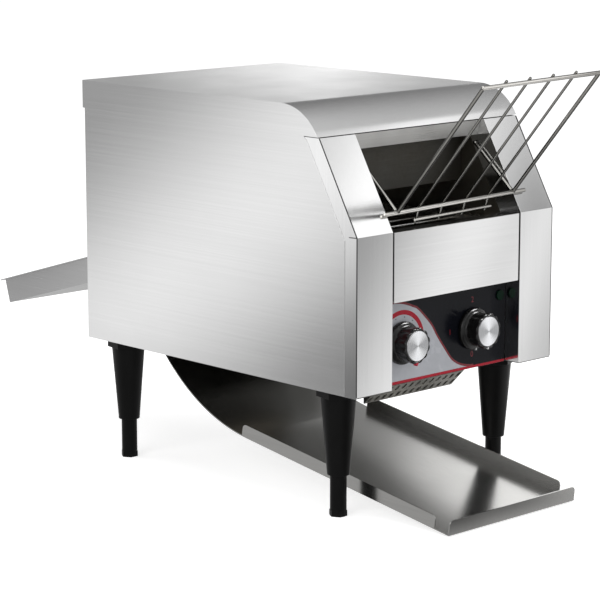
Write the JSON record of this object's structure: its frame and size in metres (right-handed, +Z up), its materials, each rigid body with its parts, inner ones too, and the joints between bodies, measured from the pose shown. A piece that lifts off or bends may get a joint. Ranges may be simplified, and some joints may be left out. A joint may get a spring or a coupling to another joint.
{
  "type": "conveyor toaster",
  "caption": "Counter-top conveyor toaster: brushed steel body on tall black legs, wire feed rack, rotary controls, curved discharge slide and rear chute.",
  "frame": {"origin": "on the table, under the middle of the whole toaster's bounding box", "axes": "+X to the toaster's right as a user in front of it sees it, +Y from its front towards its rear, +Z up"},
  "size_m": [0.291, 0.7414, 0.4492],
  "materials": {
    "brushed_stainless": "brushed along its length, satin",
    "polished_stainless": "polished to a soft mirror",
    "plain_sheet": "mill finish",
    "reflector_sheet": "heat-dulled sheet",
    "heater_sheath": "dark oxidised sheath",
    "ceramic_bush": "matt steatite",
    "plated_steel": "zinc or nickel plated",
    "chain_steel": "oiled steel",
    "bearing_bronze": "sintered bronze",
    "motor_casting": "grey painted casting",
    "black_plastic": "moulded, satin black",
    "leg_plastic": "moulded, matt black",
    "knob_cap_aluminium": "spun, fine rings",
    "printed_overlay": "printed polycarbonate film, grey-blue, black and red",
    "lamp_lens": "clear dark green",
    "terminal_plastic": "ivory polyamide",
    "lead_insulation": "braided glass sleeve",
    "rack_wire": "drawn stainless wire, electropolished"
  },
  "bodies": {
    "chassis": {"base_plate": "plain_sheet", "left_side_panel": "brushed_stainless", "right_side_panel": "brushed_stainless", "left_front_post": "polished_stainless", "right_front_post": "polished_stainless", "top_cover": "brushed_stainless", "rear_panel": "brushed_stainless", "front_panel": "polished_stainless", "control_panel": "plain_sheet", "control_overlay": "printed_overlay", "vent_scoop": "plain_sheet", "left_inner_wall": "plain_sheet", "right_inner_wall": "plain_sheet", "front_baffle": "reflector_sheet", "upper_reflector": "reflector_sheet", "lower_reflector": "reflector_sheet", "drop_deflector": "plain_sheet", "upper_heaters": "heater_sheath", "lower_heaters": "heater_sheath", "heater_insulators": "ceramic_bush", "shaft_bearings": "bearing_bronze", "left_conveyor_chain": "chain_steel", "right_conveyor_chain": "chain_steel", "conveyor_rods": "plated_steel", "drive_chain": "chain_steel", "gear_motor": "motor_casting", "fan_frame": "black_plastic", "speed_regulator": "black_plastic", "selector_switch": "black_plastic", "signal_lamp": "lamp_lens", "terminal_block": "terminal_plastic", "cable_gland": "black_plastic", "wiring_harness": "lead_insulation", "front_left_leg": "leg_plastic", "front_right_leg": "leg_plastic", "rear_left_leg": "leg_plastic", "rear_right_leg": "leg_plastic", "panel_screws": "plated_steel", "leg_nuts": "plated_steel"},
    "drive_body": {"drive_shaft": "plated_steel", "drive_sprockets": "chain_steel", "driven_sprocket": "chain_steel"},
    "idler_body": {"idler_shaft": "plated_steel", "idler_sprockets": "chain_steel"},
    "motor_output": {"motor_shaft": "plated_steel", "motor_sprocket": "chain_steel"},
    "fan_body": {"fan_rotor": "black_plastic"},
    "speed_dial": {"speed_spindle": "plated_steel", "speed_knob": "black_plastic", "speed_knob_cap": "knob_cap_aluminium"},
    "selector_dial": {"selector_spindle": "plated_steel", "selector_knob": "black_plastic", "selector_knob_cap": "knob_cap_aluminium"},
    "rack_body": {"feed_rack": "rack_wire"},
    "slide_body": {"discharge_slide": "brushed_stainless"},
    "chute_body": {"rear_chute": "brushed_stainless"},
    "foot_front_left": {"front_left_foot": "leg_plastic"},
    "foot_front_right": {"front_right_foot": "leg_plastic"},
    "foot_rear_left": {"rear_left_foot": "leg_plastic"},
    "foot_rear_right": {"rear_right_foot": "leg_plastic"}
  },
  "joints": [
    {"name": "drive_turn", "type": "hinge", "parent": "chassis", "child": "drive_body", "pos_m": [0, 0.08595, 0.255], "axis": [1, 0, 0], "continuous": true, "deforming": ["left_conveyor_chain", "right_conveyor_chain", "drive_chain"]},
    {"name": "idler_turn", "type": "hinge", "parent": "chassis", "child": "idler_body", "pos_m": [0, -0.20615, 0.255], "axis": [1, 0, 0], "continuous": true},
    {"name": "motor_turn", "type": "hinge", "parent": "chassis", "child": "motor_output", "pos_m": [0, -0.03105, 0.173], "axis": [1, 0, 0], "continuous": true},
    {"name": "fan_turn", "type": "hinge", "parent": "chassis", "child": "fan_body", "pos_m": [-0.048, -0.15415, 0.133], "axis": [0, 0, 1], "continuous": true},
    {"name": "speed_turn", "type": "hinge", "parent": "chassis", "child": "speed_dial", "pos_m": [-0.0614, -0.26415, 0.1753], "axis": [0, 1, 0], "range_deg": [0, 300]},
    {"name": "selector_turn", "type": "hinge", "parent": "chassis", "child": "selector_dial", "pos_m": [0.0436, -0.26415, 0.1753], "axis": [0, 1, 0], "range_deg": [-180, 90]},
    {"name": "rack_lift", "type": "hinge", "parent": "chassis", "child": "rack_body", "pos_m": [0, -0.20216, 0.36], "axis": [-1, 0, 0], "range_deg": [0, 75]},
    {"name": "slide_pull", "type": "slide", "parent": "chassis", "child": "slide_body", "axis": [0, -1, 0], "range_m": [0, 0.28]},
    {"name": "chute_lift", "type": "slide", "parent": "chassis", "child": "chute_body", "axis": [0, 0, 1], "range_m": [0, 0.012]},
    {"name": "front_left_foot_screw", "type": "slide", "parent": "chassis", "child": "foot_front_left", "axis": [0, 0, 1], "range_m": [-0.008, 0.024]},
    {"name": "front_right_foot_screw", "type": "slide", "parent": "chassis", "child": "foot_front_right", "axis": [0, 0, 1], "range_m": [-0.008, 0.024]},
    {"name": "rear_left_foot_screw", "type": "slide", "parent": "chassis", "child": "foot_rear_left", "axis": [0, 0, 1], "range_m": [-0.008, 0.024]},
    {"name": "rear_right_foot_screw", "type": "slide", "parent": "chassis", "child": "foot_rear_right", "axis": [0, 0, 1], "range_m": [-0.008, 0.024]}
  ],
  "couplings": [
    {"joint": "idler_turn", "follows": "drive_turn", "ratio": 1},
    {"joint": "motor_turn", "follows": "drive_turn", "ratio": 1}
  ]
}
